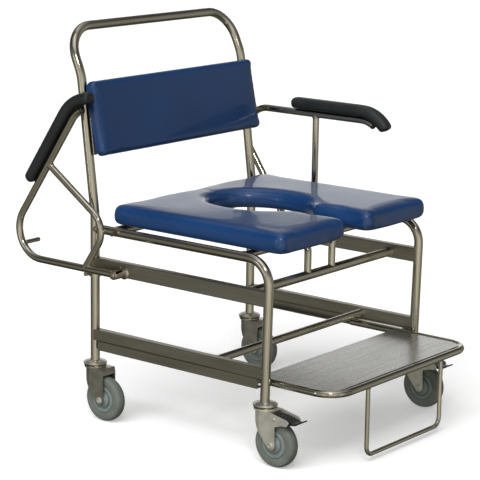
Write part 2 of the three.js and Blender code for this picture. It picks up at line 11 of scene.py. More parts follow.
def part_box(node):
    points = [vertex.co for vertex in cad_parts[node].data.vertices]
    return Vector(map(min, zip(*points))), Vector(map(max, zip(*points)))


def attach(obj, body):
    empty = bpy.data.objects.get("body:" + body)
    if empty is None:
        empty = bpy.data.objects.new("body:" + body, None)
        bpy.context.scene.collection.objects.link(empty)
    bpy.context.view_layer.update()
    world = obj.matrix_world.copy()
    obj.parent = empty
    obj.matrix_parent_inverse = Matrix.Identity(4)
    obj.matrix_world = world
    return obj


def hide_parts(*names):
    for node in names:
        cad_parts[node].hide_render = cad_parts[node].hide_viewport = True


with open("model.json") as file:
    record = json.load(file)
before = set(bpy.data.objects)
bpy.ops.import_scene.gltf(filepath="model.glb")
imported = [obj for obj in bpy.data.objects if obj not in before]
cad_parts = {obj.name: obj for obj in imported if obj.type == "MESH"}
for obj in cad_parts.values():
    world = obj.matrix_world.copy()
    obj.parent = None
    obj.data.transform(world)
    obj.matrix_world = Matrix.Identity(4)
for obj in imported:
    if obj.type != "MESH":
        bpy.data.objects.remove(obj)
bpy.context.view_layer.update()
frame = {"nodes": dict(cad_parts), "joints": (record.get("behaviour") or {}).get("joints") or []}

# ---------------------------------------------------------------- studio
# A pale, evenly lit floor with no horizon, a small soft key light, a low screen behind that the seat's
# top and the foot plate mirror, and a tall strip at one side. The metals mirror a banded surround.
look_at = Vector((-0.0871, -0.025, 0.5064))
camera_turn = radians(-51.587)
camera_lift = radians(12.472)
camera_roll = radians(0.829)
camera_distance = 5.2771
back = Vector((sin(camera_turn) * cos(camera_lift), -cos(camera_turn) * cos(camera_lift), sin(camera_lift)))
camera_data = bpy.data.cameras.new("camera")
camera_data.sensor_width = 36
camera_data.lens = 145.14
camera = bpy.data.objects.new("camera", camera_data)
bpy.context.scene.collection.objects.link(camera)
facing = (-back).to_track_quat("-Z", "Y").to_matrix().to_4x4()
camera.matrix_world = (
    Matrix.Translation(look_at + back * camera_distance) @ facing @ Matrix.Rotation(camera_roll, 4, "Z")
)
bpy.context.scene.camera = camera
bpy.context.scene.view_settings.view_transform = "Standard"


def finish(name, colour, roughness, metallic=0.0, **sockets):
    """A new material on one shader, with any further sockets set by name."""
    material = bpy.data.materials.new(name)
    material.use_nodes = True
    shader = material.node_tree.nodes["Principled BSDF"]
    shader.inputs["Base Color"].default_value = (*colour, 1)
    shader.inputs["Roughness"].default_value = roughness
    shader.inputs["Metallic"].default_value = metallic
    for socket, value in sockets.items():
        shader.inputs[socket.replace("_", " ")].default_value = value
    return material


def pattern(material, kind, scale, stretch=(1, 1, 1), detail=2.0, along=None, turn=(0, 0, 0)):
    """A procedural pattern over the object, or over the attribute named in along. Returns its value."""
    nodes, links = material.node_tree.nodes, material.node_tree.links
    if along:
        source = nodes.new("ShaderNodeAttribute")
        source.attribute_name = along
        place = source.outputs["Vector"]
    else:
        place = nodes.new("ShaderNodeTexCoord").outputs["Object"]
    mapping = nodes.new("ShaderNodeMapping")
    mapping.inputs["Scale"].default_value = stretch
    mapping.inputs["Rotation"].default_value = turn
    links.new(place, mapping.inputs["Vector"])
    texture = nodes.new({"noise": "ShaderNodeTexNoise", "cells": "ShaderNodeTexVoronoi"}[kind])
    texture.inputs["Scale"].default_value = scale
    if kind == "noise":
        texture.inputs["Detail"].default_value = detail
    links.new(mapping.outputs["Vector"], texture.inputs["Vector"])
    return texture.outputs["Fac" if kind == "noise" else "Distance"]


def remap(material, value, low, high, start=0.3, stop=0.7):
    node = material.node_tree.nodes.new("ShaderNodeMapRange")
    node.inputs["From Min"].default_value = start
    node.inputs["From Max"].default_value = stop
    node.inputs["To Min"].default_value = low
    node.inputs["To Max"].default_value = high
    material.node_tree.links.new(value, node.inputs["Value"])
    return node.outputs["Result"]


def shade(material, value, low, high, start=0.3, stop=0.7):
    """Multiplies the base colour by low to high as the pattern's value rises."""
    nodes, links = material.node_tree.nodes, material.node_tree.links
    target = nodes["Principled BSDF"].inputs["Base Color"]
    mix = nodes.new("ShaderNodeMix")
    mix.data_type = "RGBA"
    mix.blend_type = "MULTIPLY"
    mix.inputs["Factor"].default_value = 1
    if target.is_linked:
        links.new(target.links[0].from_socket, mix.inputs["A"])
    else:
        mix.inputs["A"].default_value = target.default_value
    links.new(remap(material, value, low, high, start, stop), mix.inputs["B"])
    links.new(mix.outputs["Result"], target)


floor_mesh = bpy.data.meshes.new("floor")
floor_bm = bmesh.new()
floor_half = 60
bmesh.ops.create_grid(floor_bm, x_segments=1, y_segments=1, size=floor_half)
floor_bm.to_mesh(floor_mesh)
floor_bm.free()
floor = bpy.data.objects.new("floor", floor_mesh)
bpy.context.scene.collection.objects.link(floor)
floor_paint = finish("floor_paint", (0.86, 0.86, 0.86), 0.9, Emission_Strength=0.32)
floor_paint.node_tree.nodes["Principled BSDF"].inputs["Emission Color"].default_value = (1, 1, 1, 1)
shade(floor_paint, pattern(floor_paint, "noise", 0.6), 0.985, 1.0)
floor_mesh.materials.append(floor_paint)
floor.visible_glossy = False
floor.visible_diffuse = False


def soft_light(name, place, width, height, power, colour=(1, 1, 1), aim=(0, 0, 0.5)):
    data = bpy.data.lights.new(name, "AREA")
    data.shape = "RECTANGLE"
    data.size = width
    data.size_y = height
    data.energy = power
    data.color = colour
    light = bpy.data.objects.new(name, data)
    light.location = place
    light.rotation_euler = (Vector(aim) - Vector(place)).to_track_quat("-Z", "Y").to_euler()
    bpy.context.scene.collection.objects.link(light)


# The even light comes from the user's right and above. It lights cloth and floor, and the metals don't
# mirror it.
sun_data = bpy.data.lights.new("even_light", "SUN")
sun_data.energy = 2.6
sun_data.angle = radians(60)
sun = bpy.data.objects.new("even_light", sun_data)
sun.rotation_euler = Vector((-0.72, -0.12, 0.68)).to_track_quat("Z", "Y").to_euler()
sun.visible_glossy = False
bpy.context.scene.collection.objects.link(sun)
soft_light("key", (-2.6, -2.6, 3.4), 0.55, 0.55, 26)
soft_light("rear_screen", (2.3, 1.9, 0.95), 3.2, 0.6, 4.2)
soft_light("side_strip", (-4.4, 1.0, 1.2), 0.35, 2.2, 6)

world = bpy.data.worlds.new("surround")
bpy.context.scene.world = world
world.use_nodes = True
world_nodes, world_links = world.node_tree.nodes, world.node_tree.links


def ramp_of(stops):
    """A colour ramp through (position, colour) stops."""
    ramp = world_nodes.new("ShaderNodeValToRGB")
    ramp.color_ramp.interpolation = "EASE"
    elements = ramp.color_ramp.elements
    elements[0].position, elements[0].color = stops[0][0], (*stops[0][1], 1)
    elements[1].position, elements[1].color = stops[-1][0], (*stops[-1][1], 1)
    for position, colour in stops[1:-1]:
        elements.new(position).color = (*colour, 1)
    return ramp


direction = world_nodes.new("ShaderNodeTexCoord")
split = world_nodes.new("ShaderNodeSeparateXYZ")
lift = world_nodes.new("ShaderNodeMapRange")
lift.inputs["From Min"].default_value = -1
world_links.new(direction.outputs["Generated"], split.inputs["Vector"])
world_links.new(split.outputs["Z"], lift.inputs["Value"])
height_ramp = ramp_of([(0.0, (0.40, 0.39, 0.34)), (0.17, (0.35, 0.34, 0.29)), (0.27, (0.70, 0.68, 0.59)),
                       (0.42, (1.15, 1.13, 1.0)), (0.61, (0.95, 0.95, 0.89)), (0.73, (0.46, 0.46, 0.45)),
                       (0.80, (0.26, 0.26, 0.26)), (0.90, (1.3, 1.3, 1.3)), (1.0, (2.0, 2.0, 2.0))])
world_links.new(lift.outputs["Result"], height_ramp.inputs["Fac"])
around = world_nodes.new("ShaderNodeTexGradient")
around.gradient_type = "RADIAL"
around_ramp = ramp_of([(position, (level,) * 3) for position, level in (
    (0.0, 0.42), (0.05, 0.74), (0.075, 0.46), (0.107, 0.74), (0.16, 0.76), (0.20, 0.46), (0.24, 0.66),
    (0.30, 0.26), (0.36, 0.20), (0.41, 0.34), (0.50, 0.14), (0.607, 0.50), (0.70, 0.28), (0.78, 0.07),
    (0.893, 0.21), (1.0, 0.42))])
world_links.new(direction.outputs["Generated"], around.inputs["Vector"])
world_links.new(around.outputs["Fac"], around_ramp.inputs["Fac"])
surround = world_nodes.new("ShaderNodeMix")
surround.data_type = "RGBA"
surround.blend_type = "MULTIPLY"
surround.inputs["Factor"].default_value = 1
world_links.new(height_ramp.outputs["Color"], surround.inputs["A"])
world_links.new(around_ramp.outputs["Color"], surround.inputs["B"])
seen = world_nodes.new("ShaderNodeLightPath")
plain = world_nodes.new("ShaderNodeMix")
plain.data_type = "RGBA"
plain.inputs["B"].default_value = (0.92, 0.92, 0.92, 1)
world_links.new(seen.outputs["Is Camera Ray"], plain.inputs["Factor"])
world_links.new(surround.outputs["Result"], plain.inputs["A"])
world_links.new(plain.outputs["Result"], world_nodes["Background"].inputs["Color"])
world_nodes["Background"].inputs["Strength"].default_value = 1.0

# ---------------------------------------------------------------- rear hoop
# Both rear posts and the push handle are one length of polished stainless tube. It is bent cold on a
# former, so the wall keeps its round section, and the polishing leaves fine lines along it.


def roughen(material, value, low, high, start=0.3, stop=0.7):
    shader = material.node_tree.nodes["Principled BSDF"]
    material.node_tree.links.new(remap(material, value, low, high, start, stop), shader.inputs["Roughness"])


def relief(material, value, height):
    """Adds the pattern to the surface as relief, height metres deep."""
    nodes, links = material.node_tree.nodes, material.node_tree.links
    normal = nodes["Principled BSDF"].inputs["Normal"]
    bump = nodes.new("ShaderNodeBump")
    bump.inputs["Distance"].default_value = height
    if normal.is_linked:
        links.new(normal.links[0].from_socket, bump.inputs["Normal"])
    links.new(value, bump.inputs["Height"])
    links.new(bump.outputs["Normal"], normal)


polished_tube = finish("polished_tube", (0.60, 0.56, 0.46), 0.16, 1.0)
tube_lines = pattern(polished_tube, "noise", 1, (900, 900, 5), 3, along="grain")
tube_haze = pattern(polished_tube, "noise", 1, (30, 30, 6), 3, along="grain")
shade(polished_tube, tube_lines, 0.9, 1.06)
shade(polished_tube, tube_haze, 0.88, 1.05)
roughen(polished_tube, tube_haze, 0.10, 0.19)
relief(polished_tube, tube_lines, 0.00003)


def shown(name, bm, material, crease=35, soften=0.0):
    """Makes a finished piece of a bmesh: smooth except at creases, which a small round may break."""
    mesh = bpy.data.meshes.new(name)
    bm.to_mesh(mesh)
    bm.free()
    mesh.shade_smooth()
    mesh.set_sharp_from_angle(angle=radians(crease))
    mesh.materials.append(material)
    piece = bpy.data.objects.new(name, mesh)
    bpy.context.scene.collection.objects.link(piece)
    if soften:
        bevel = piece.modifiers.new("soften", "BEVEL")
        bevel.width = soften
        bevel.segments = 2
        bevel.limit_method = "ANGLE"
        bevel.angle_limit = radians(crease)
    return piece


def place(piece, body, slot, *nodes):
    """The piece rides on its body and stands for these CAD nodes, which it hides. The slot is not used."""
    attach(piece, body)
    if nodes:
        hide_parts(*nodes)
    return piece


def bent_tube(corners, bends, radius, around=32):
    """Draws a ring of tube along straight runs and swings it round each bend, then caps the end.
    The grain attribute holds the place round the tube and the distance along it."""
    bm = bmesh.new()
    grain = bm.verts.layers.float_vector.new("grain")
    corners = [Vector(corner) for corner in corners]
    aim = (corners[1] - corners[0]).normalized()
    ring = bmesh.ops.create_circle(
        bm, cap_ends=True, segments=around, radius=radius,
        matrix=Matrix.Translation(corners[0]) @ aim.to_track_quat("Z", "Y").to_matrix().to_4x4())["verts"]
    for i, vert in enumerate(ring):
        vert[grain] = (radius * cos(2 * pi * i / around), radius * sin(2 * pi * i / around), 0)
    edges = [edge for edge in bm.edges]
    at = corners[0]

    def draw(edges, length):
        made = bmesh.ops.extrude_edge_only(bm, edges=edges)["geom"]
        ring = [item for item in made if isinstance(item, bmesh.types.BMVert)]
        for vert in ring:
            vert[grain] = (vert[grain][0], vert[grain][1], vert[grain][2] + length)
        return ring, [item for item in made if isinstance(item, bmesh.types.BMEdge) and item.is_boundary]

    for i, corner in enumerate(corners[1:]):
        trim = 0.0
        if i < len(corners) - 2:
            after = (corners[i + 2] - corner).normalized()
            turn = aim.angle(after)
            trim = bends[i] * tan(turn / 2)
        straight = (corner - at).length - trim
        if straight > 1e-6:
            ring, edges = draw(edges, straight)
            bmesh.ops.translate(bm, verts=ring, vec=aim * straight)
        if trim:
            inward = (after - aim * aim.dot(after)).normalized()
            centre = corner - aim * trim + inward * bends[i]
            steps = max(4, round(turn / radians(7)))
            swing = Matrix.Rotation(turn / steps, 3, aim.cross(after).normalized())
            for _ in range(steps):
                ring, edges = draw(edges, bends[i] * turn / steps)
                bmesh.ops.rotate(bm, verts=ring, cent=centre, matrix=swing)
            at, aim = corner + after * trim, after
    bmesh.ops.contextual_create(bm, geom=edges)
    bmesh.ops.recalc_face_normals(bm, faces=bm.faces)
    return bm


hoop_low, hoop_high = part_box("rear_hoop_tube")
tube_radius = 0.0127
post_x = hoop_high.x - tube_radius
post_y = hoop_low.y + tube_radius
foot_z = hoop_low.z
handle_y = hoop_high.y - tube_radius
handle_z = hoop_high.z - tube_radius
lean_start_z = 0.575
handle_start_z = 0.952
post_lean = 0.13
post_bend, handle_foot_bend, handle_bend = 0.26, 0.14, 0.088


def post_line(z):
    """The post's centre line leans back above the seat."""
    return post_y + max(0.0, z - lean_start_z) * post_lean


hoop_half = [(-post_x, post_y, foot_z), (-post_x, post_y, lean_start_z),
             (-post_x, post_line(handle_start_z), handle_start_z), (-post_x, handle_y, handle_z)]
hoop_corners = hoop_half + [(-x, y, z) for x, y, z in reversed(hoop_half)]
hoop_bends = [post_bend, handle_foot_bend, handle_bend, handle_bend, handle_foot_bend, post_bend]
place(shown("rear_hoop", bent_tube(hoop_corners, hoop_bends, tube_radius), polished_tube),
      "frame", "polished_tube", "rear_hoop_tube")

# ---------------------------------------------------------------- side tubes and cross tubes
# Seat rail and front leg are one bent tube a side, welded to the post. Two cross tubes tie the sides,
# and a hoop each side of the seat's mouth holds the seat's front. All are polished stainless.
sides = (("left", 1), ("right", -1))
side_low, side_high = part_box("side_tube_left")
seat_rail_z = side_high.z - tube_radius
leg_y = side_low.y + tube_radius
leg_lean = 0.0084
front_bend = 0.066
for side, s in sides:
    corners = [(s * post_x, post_y, seat_rail_z), (s * post_x, leg_y, seat_rail_z),
               (s * post_x, leg_y + leg_lean, foot_z)]
    place(shown(f"side_tube_{side}_polished", bent_tube(corners, [front_bend], tube_radius), polished_tube),
          "frame", "polished_tube", f"side_tube_{side}")


def cross_tube(node):
    low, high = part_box(node)
    middle = (low + high) / 2
    ends = [(low.x, middle.y, middle.z), (high.x, middle.y, middle.z)]
    bm = bent_tube(ends, [], (high.z - low.z) / 2)
    place(shown(f"{node}_polished", bm, polished_tube), "frame", "polished_tube", node)
    return middle, (high.z - low.z) / 2, high.x


upper_cross, upper_cross_radius, upper_cross_end = cross_tube("upper_cross_tube")
lower_cross, lower_cross_radius, _ = cross_tube("lower_cross_tube")
cross_tube("rear_seat_cross_tube")

hoop_radius = 0.01
hoop_bend = 0.04
for side, s in sides:
    low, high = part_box(f"seat_support_hoop_{side}")
    inner = s * (min(abs(low.x), abs(high.x)) + hoop_radius)
    corners = [(inner, upper_cross.y, upper_cross.z), (inner, upper_cross.y, high.z - hoop_radius),
               (s * max(abs(low.x), abs(high.x)), upper_cross.y, high.z - hoop_radius)]
    place(shown(f"seat_support_hoop_{side}_polished", bent_tube(corners, [hoop_bend], hoop_radius),
                polished_tube), "frame", "polished_tube", f"seat_support_hoop_{side}")

# ---------------------------------------------------------------- side rails and channels
# Rectangular stainless rails, brushed along their length, with the small round corners of rolled
# tube. The folded channel under each lower rail carries the footrest.
brushed_rail = finish("brushed_rail", (0.45, 0.425, 0.355), 0.36, 1.0)
rail_lines = pattern(brushed_rail, "noise", 1, (700, 6, 900), 4)
rail_haze = pattern(brushed_rail, "noise", 1, (20, 5, 26), 3)
shade(brushed_rail, rail_lines, 0.84, 1.08)
shade(brushed_rail, rail_haze, 0.82, 1.06)
roughen(brushed_rail, rail_lines, 0.28, 0.46)
relief(brushed_rail, rail_lines, 0.00004)


def refined(node, name, material, soften=0.0006, crease=30):
    """A copy of a CAD node with its facets joined up, its edges rounded and its curves smooth."""
    bm = bmesh.new()
    bm.from_mesh(frame["nodes"][node].data)
    bmesh.ops.remove_doubles(bm, verts=bm.verts, dist=1e-5)
    bmesh.ops.dissolve_limit(bm, angle_limit=radians(1), verts=bm.verts, edges=bm.edges)
    return shown(name, bm, material, crease, soften)


for side, s in sides:
    for node in (f"upper_side_rail_{side}", f"lower_side_rail_{side}", f"slide_channel_{side}"):
        place(refined(node, f"{node}_brushed", brushed_rail, 0.0005), "frame", "brushed_steel", node)

# ---------------------------------------------------------------- welds
# Each joint in the frame is welded all round. The beads are low, a little rippled and duller than the
# polished tube.
weld_metal = finish("weld_metal", (0.52, 0.49, 0.42), 0.34, 1.0)
weld_ripple = pattern(weld_metal, "noise", 420, detail=3)
shade(weld_metal, weld_ripple, 0.7, 1.1)
relief(weld_metal, weld_ripple, 0.0004)


def weld_bead(bm, centre, axis, radius, bead=0.0019):
    """A ring of weld round a tube of this radius whose centre line runs along axis."""
    axis = Vector(axis).normalized()
    out = axis.orthogonal().normalized()
    turn = Matrix((out, axis.cross(out), axis)).transposed().to_4x4()
    start = Vector(centre) + out * radius
    circle = bmesh.ops.create_circle(
        bm, segments=8, radius=bead,
        matrix=Matrix.Translation(start) @ turn @ Matrix.Rotation(pi / 2, 4, "X"))
    edges = {edge for vert in circle["verts"] for edge in vert.link_edges}
    bmesh.ops.spin(bm, geom=circle["verts"] + list(edges), cent=centre, axis=axis, angle=2 * pi, steps=40,
                   use_merge=True)


beads = bmesh.new()
rail_inner = upper_cross_end
for s in (1, -1):
    weld_bead(beads, (s * rail_inner, upper_cross.y, upper_cross.z), (1, 0, 0), upper_cross_radius)
    weld_bead(beads, (s * rail_inner, lower_cross.y, lower_cross.z), (1, 0, 0), lower_cross_radius)
    weld_bead(beads, (s * post_x, post_y - tube_radius, seat_rail_z), (0, 1, 0), tube_radius)
    weld_bead(beads, (s * (post_x - tube_radius), upper_cross.y, seat_rail_z), (1, 0, 0), hoop_radius)
bmesh.ops.remove_doubles(beads, verts=beads.verts, dist=1e-6)
bmesh.ops.recalc_face_normals(beads, faces=beads.faces)
place(shown("frame_weld_beads", beads, weld_metal), "frame", "polished_tube")

# ---------------------------------------------------------------- seat
# A horseshoe of foam on a black board, covered in glossy dark blue coated cloth that is drawn down
# over the board's edge, so the top is crowned and its rim is round, with a few soft wrinkles.
blue_cover = finish("blue_cover", (0.004, 0.036, 0.130), 0.36, 0.0, Coat_Weight=0.5, Coat_Roughness=0.05)
cover_grain = pattern(blue_cover, "cells", 900)
cover_wrinkle = pattern(blue_cover, "noise", 1, (18, 60, 30), 3)
cover_tone = pattern(blue_cover, "noise", 5, detail=2)
shade(blue_cover, cover_tone, 0.86, 1.1)
roughen(blue_cover, cover_tone, 0.30, 0.40)
relief(blue_cover, cover_grain, 0.00003)
relief(blue_cover, cover_wrinkle, 0.00045)


def wear_round(bm):
    """Softens every edge a little."""
    bmesh.ops.smooth_vert(bm, verts=bm.verts, factor=0.5, use_axis_x=True, use_axis_y=True, use_axis_z=True)


def stuffed(node, name, material, voxel, rounding, grow, swell, settling, rests, wrap):
    """Turns a plain CAD cushion into a stuffed one. Its cover is drawn down by wrap round its board's
    edge, along rests. It is remeshed, its edges are worn round, it grows by grow and is blown up as
    cloth by at most swell, and settling evens its wrinkles. Faces whose normals point along rests stay."""
    bm = bmesh.new()
    bm.from_mesh(frame["nodes"][node].data)
    bmesh.ops.remove_doubles(bm, verts=bm.verts, dist=1e-5)
    reach = [vert.co.dot(rests) for vert in bm.verts]
    middle = (min(reach) + max(reach)) / 2
    bmesh.ops.translate(bm, verts=[v for v in bm.verts if v.co.dot(rests) > middle], vec=rests * wrap)
    mesh = bpy.data.meshes.new(name)
    bm.to_mesh(mesh)
    bm.free()
    piece = bpy.data.objects.new(name, mesh)
    bpy.context.scene.collection.objects.link(piece)
    remesh = piece.modifiers.new("remesh", "REMESH")
    remesh.mode = "VOXEL"
    remesh.voxel_size = voxel
    apply_modifiers(piece)
    bm = bmesh.new()
    bm.from_mesh(piece.data)
    for _ in range(rounding):
        wear_round(bm)
    bm.normal_update()
    for vert in bm.verts:
        if vert.normal.dot(rests) < 0.7:
            vert.co += vert.normal * grow
    bm.to_mesh(piece.data)
    held = [vert.index for vert in bm.verts if vert.normal.dot(rests) > 0.9]
    before = [vert.co.copy() for vert in bm.verts]
    bm.free()
    pins = piece.vertex_groups.new(name="held")
    pins.add(held, 1.0, "REPLACE")
    cloth = piece.modifiers.new("cloth", "CLOTH")
    cloth_steps = 20
    cloth.settings.quality = 4
    cloth.settings.use_pressure = True
    cloth.settings.uniform_pressure_force = 4
    cloth.settings.effector_weights.gravity = 0
    cloth.settings.vertex_group_mass = "held"
    cloth.point_cache.frame_end = cloth_steps
    for step in range(1, cloth_steps + 1):
        bpy.context.scene.frame_set(step)
    apply_modifiers(piece)
    for vert, start in zip(piece.data.vertices, before):
        move = vert.co - start
        if move.length > swell:
            vert.co = start + move.normalized() * swell
    bpy.context.scene.frame_set(1)
    bm = bmesh.new()
    bm.from_mesh(piece.data)
    for _ in range(settling):
        wear_round(bm)
    bm.to_mesh(piece.data)
    bm.free()
    piece.vertex_groups.clear()
    piece.data.shade_smooth()
    piece.data.materials.clear()
    piece.data.materials.append(material)
    smooth = piece.modifiers.new("smooth", "SUBSURF")
    smooth.levels = smooth.render_levels = 1
    return piece


def apply_modifiers(piece):
    """Bakes the piece's modifiers into its mesh."""
    evaluated = piece.evaluated_get(bpy.context.evaluated_depsgraph_get())
    mesh = bpy.data.meshes.new_from_object(evaluated)
    piece.modifiers.clear()
    piece.data = mesh


seat = stuffed("seat_cushion", "seat_pad", blue_cover, voxel=0.005, rounding=4, grow=0.003, swell=0.005,
               settling=9, rests=Vector((0, 0, -1)), wrap=0.008)
place(seat, "frame", "blue_vinyl", "seat_cushion")

black_board = finish("black_board", (0.022, 0.023, 0.025), 0.45)
board_marks = pattern(black_board, "noise", 160, detail=4)
shade(black_board, board_marks, 0.8, 1.2)
roughen(black_board, board_marks, 0.36, 0.55)
relief(black_board, board_marks, 0.0001)
place(refined("seat_base_board", "seat_board_painted", black_board),
      "frame", "black_board", "seat_base_board")

# ---------------------------------------------------------------- backrest
# A thin padded panel in the same cloth, drawn over a black board's edge. A black strap at each side
# joins it to the post's front, with a block at the bottom that stands the panel off.
back_set_out, back_rise = 0.0425, 0.199
back_tilt = atan2(back_set_out, back_rise)
panel_rear = Vector((0, cos(back_tilt), -sin(back_tilt)))
panel = stuffed("backrest_cushion", "backrest_pad", blue_cover, voxel=0.0045, rounding=1, grow=0.002,
                swell=0.003, settling=2, rests=panel_rear, wrap=0.006)
place(panel, "frame", "blue_vinyl", "backrest_cushion")
place(refined("backrest_board", "backrest_board_painted", black_board),
      "frame", "black_board", "backrest_board")
for side, s in sides:
    place(refined(f"backrest_bracket_{side}", f"backrest_strap_{side}", black_board, 0.001),
          "frame", "black_board", f"backrest_bracket_{side}")

# ---------------------------------------------------------------- arms
# Each arm is a bent tube with an L brace welded under it and a foam pad on top, turning on a bolt
# through the upper rail. The left arm is in use; the right one is swung back on its peg.
pad_foam = finish("pad_foam", (0.014, 0.017, 0.017), 0.40, 0.0, Coat_Weight=0.12, Coat_Roughness=0.3)
foam_skin = pattern(pad_foam, "cells", 650)
foam_tone = pattern(pad_foam, "noise", 14, detail=3)
shade(pad_foam, foam_tone, 0.8, 1.25)
roughen(pad_foam, foam_tone, 0.34, 0.5)
relief(pad_foam, foam_skin, 0.00007)
black_plastic = finish("black_plastic", (0.009, 0.010, 0.010), 0.24, 0.0, Coat_Weight=0.3,
                       Coat_Roughness=0.08)
plastic_marks = pattern(black_plastic, "noise", 90, detail=4)
shade(black_plastic, plastic_marks, 0.75, 1.3)
roughen(black_plastic, plastic_marks, 0.16, 0.32)
relief(black_plastic, plastic_marks, 0.00005)

joints = {joint["name"]: joint for joint in frame["joints"]}
arm_radius = 0.01
brace_radius = 0.0095
arm_height = 0.3575
arm_rise = radians(124.2)
arm_bend = 0.08
curl_turn = radians(32)
brace_forward, brace_low, brace_bend = 0.085, 0.095, 0.062
pad_from, pad_to, pad_curl = 0.003, 0.245, radians(55)
pad_half_width, pad_half_height = 0.023, 0.0165
curl_centre = arm_height - arm_bend
pin_turn = radians(157)
pin_radius = 0.006


def lathe(bm, profile, centre, axis, steps=64):
    """Turns a profile of (radius, distance along axis) points about the axis through centre."""
    axis = Vector(axis).normalized()
    out = axis.orthogonal().normalized()
    verts = [bm.verts.new(Vector(centre) + out * r + axis * along) for r, along in profile]
    edges = [bm.edges.new(pair) for pair in zip(verts, verts[1:])]
    bmesh.ops.spin(bm, geom=verts + edges, cent=centre, axis=axis, angle=2 * pi, steps=steps, use_merge=True)
    bmesh.ops.remove_doubles(bm, verts=bm.verts, dist=1e-6)
    bmesh.ops.recalc_face_normals(bm, faces=bm.faces)
    return bm


def arm_pad():
    """The pad's section, drawn along its straight and then down its front curl. Its rear end is cut
    back at the corners and its nose is rounded over."""
    w, h = pad_half_width, pad_half_height
    outline = [(w - 0.010, h), (w - 0.002, h - 0.007), (w, 0), (w - 0.002, -h + 0.005), (w - 0.007, -h)]
    outline += [(-x, z) for x, z in reversed(outline)]
    bm = bmesh.new()
    radius = arm_bend + arm_radius + 0.0012 + h
    level = curl_centre + radius
    ring = [bm.verts.new((x, -pad_from, level + z)) for x, z in outline]
    face = bm.faces.new(ring)

    def grow(face, scale, vec=None, turn=0.0):
        made = bmesh.ops.extrude_discrete_faces(bm, faces=[face])["faces"][0]
        middle = made.calc_center_median()
        bmesh.ops.scale(bm, verts=made.verts, vec=scale, space=Matrix.Translation(-middle))
        if vec:
            bmesh.ops.translate(bm, verts=made.verts, vec=vec)
        if turn:
            bmesh.ops.rotate(bm, verts=made.verts, cent=(0, -pad_to, curl_centre),
                             matrix=Matrix.Rotation(turn, 3, "X"))
        return made

    bmesh.ops.scale(bm, verts=ring, vec=(0.62, 1, 0.55),
                    space=Matrix.Translation(-face.calc_center_median()))
    face = grow(face, (1.35, 1, 1.5), (0, -0.004, 0))
    face = grow(face, (1.16, 1, 1.2), (0, -0.006, 0))
    face = grow(face, (1.03, 1, 1.01), (0, -0.006, 0))
    straight = pad_to - pad_from - 0.016
    for _ in range(8):
        face = grow(face, (1, 1, 1), (0, -straight / 8, 0))
    for step in range(7):
        face = grow(face, (0.995, 1, 1) if step < 4 else (0.97, 1, 1), turn=pad_curl * 0.94 / 7)
    face = grow(face, (0.90, 0.82, 0.82), turn=radians(3))
    face = grow(face, (0.72, 0.62, 0.62), turn=radians(1.6))
    bmesh.ops.remove_doubles(bm, verts=bm.verts, dist=1e-6)
    bmesh.ops.recalc_face_normals(bm, faces=bm.faces)
    return bm


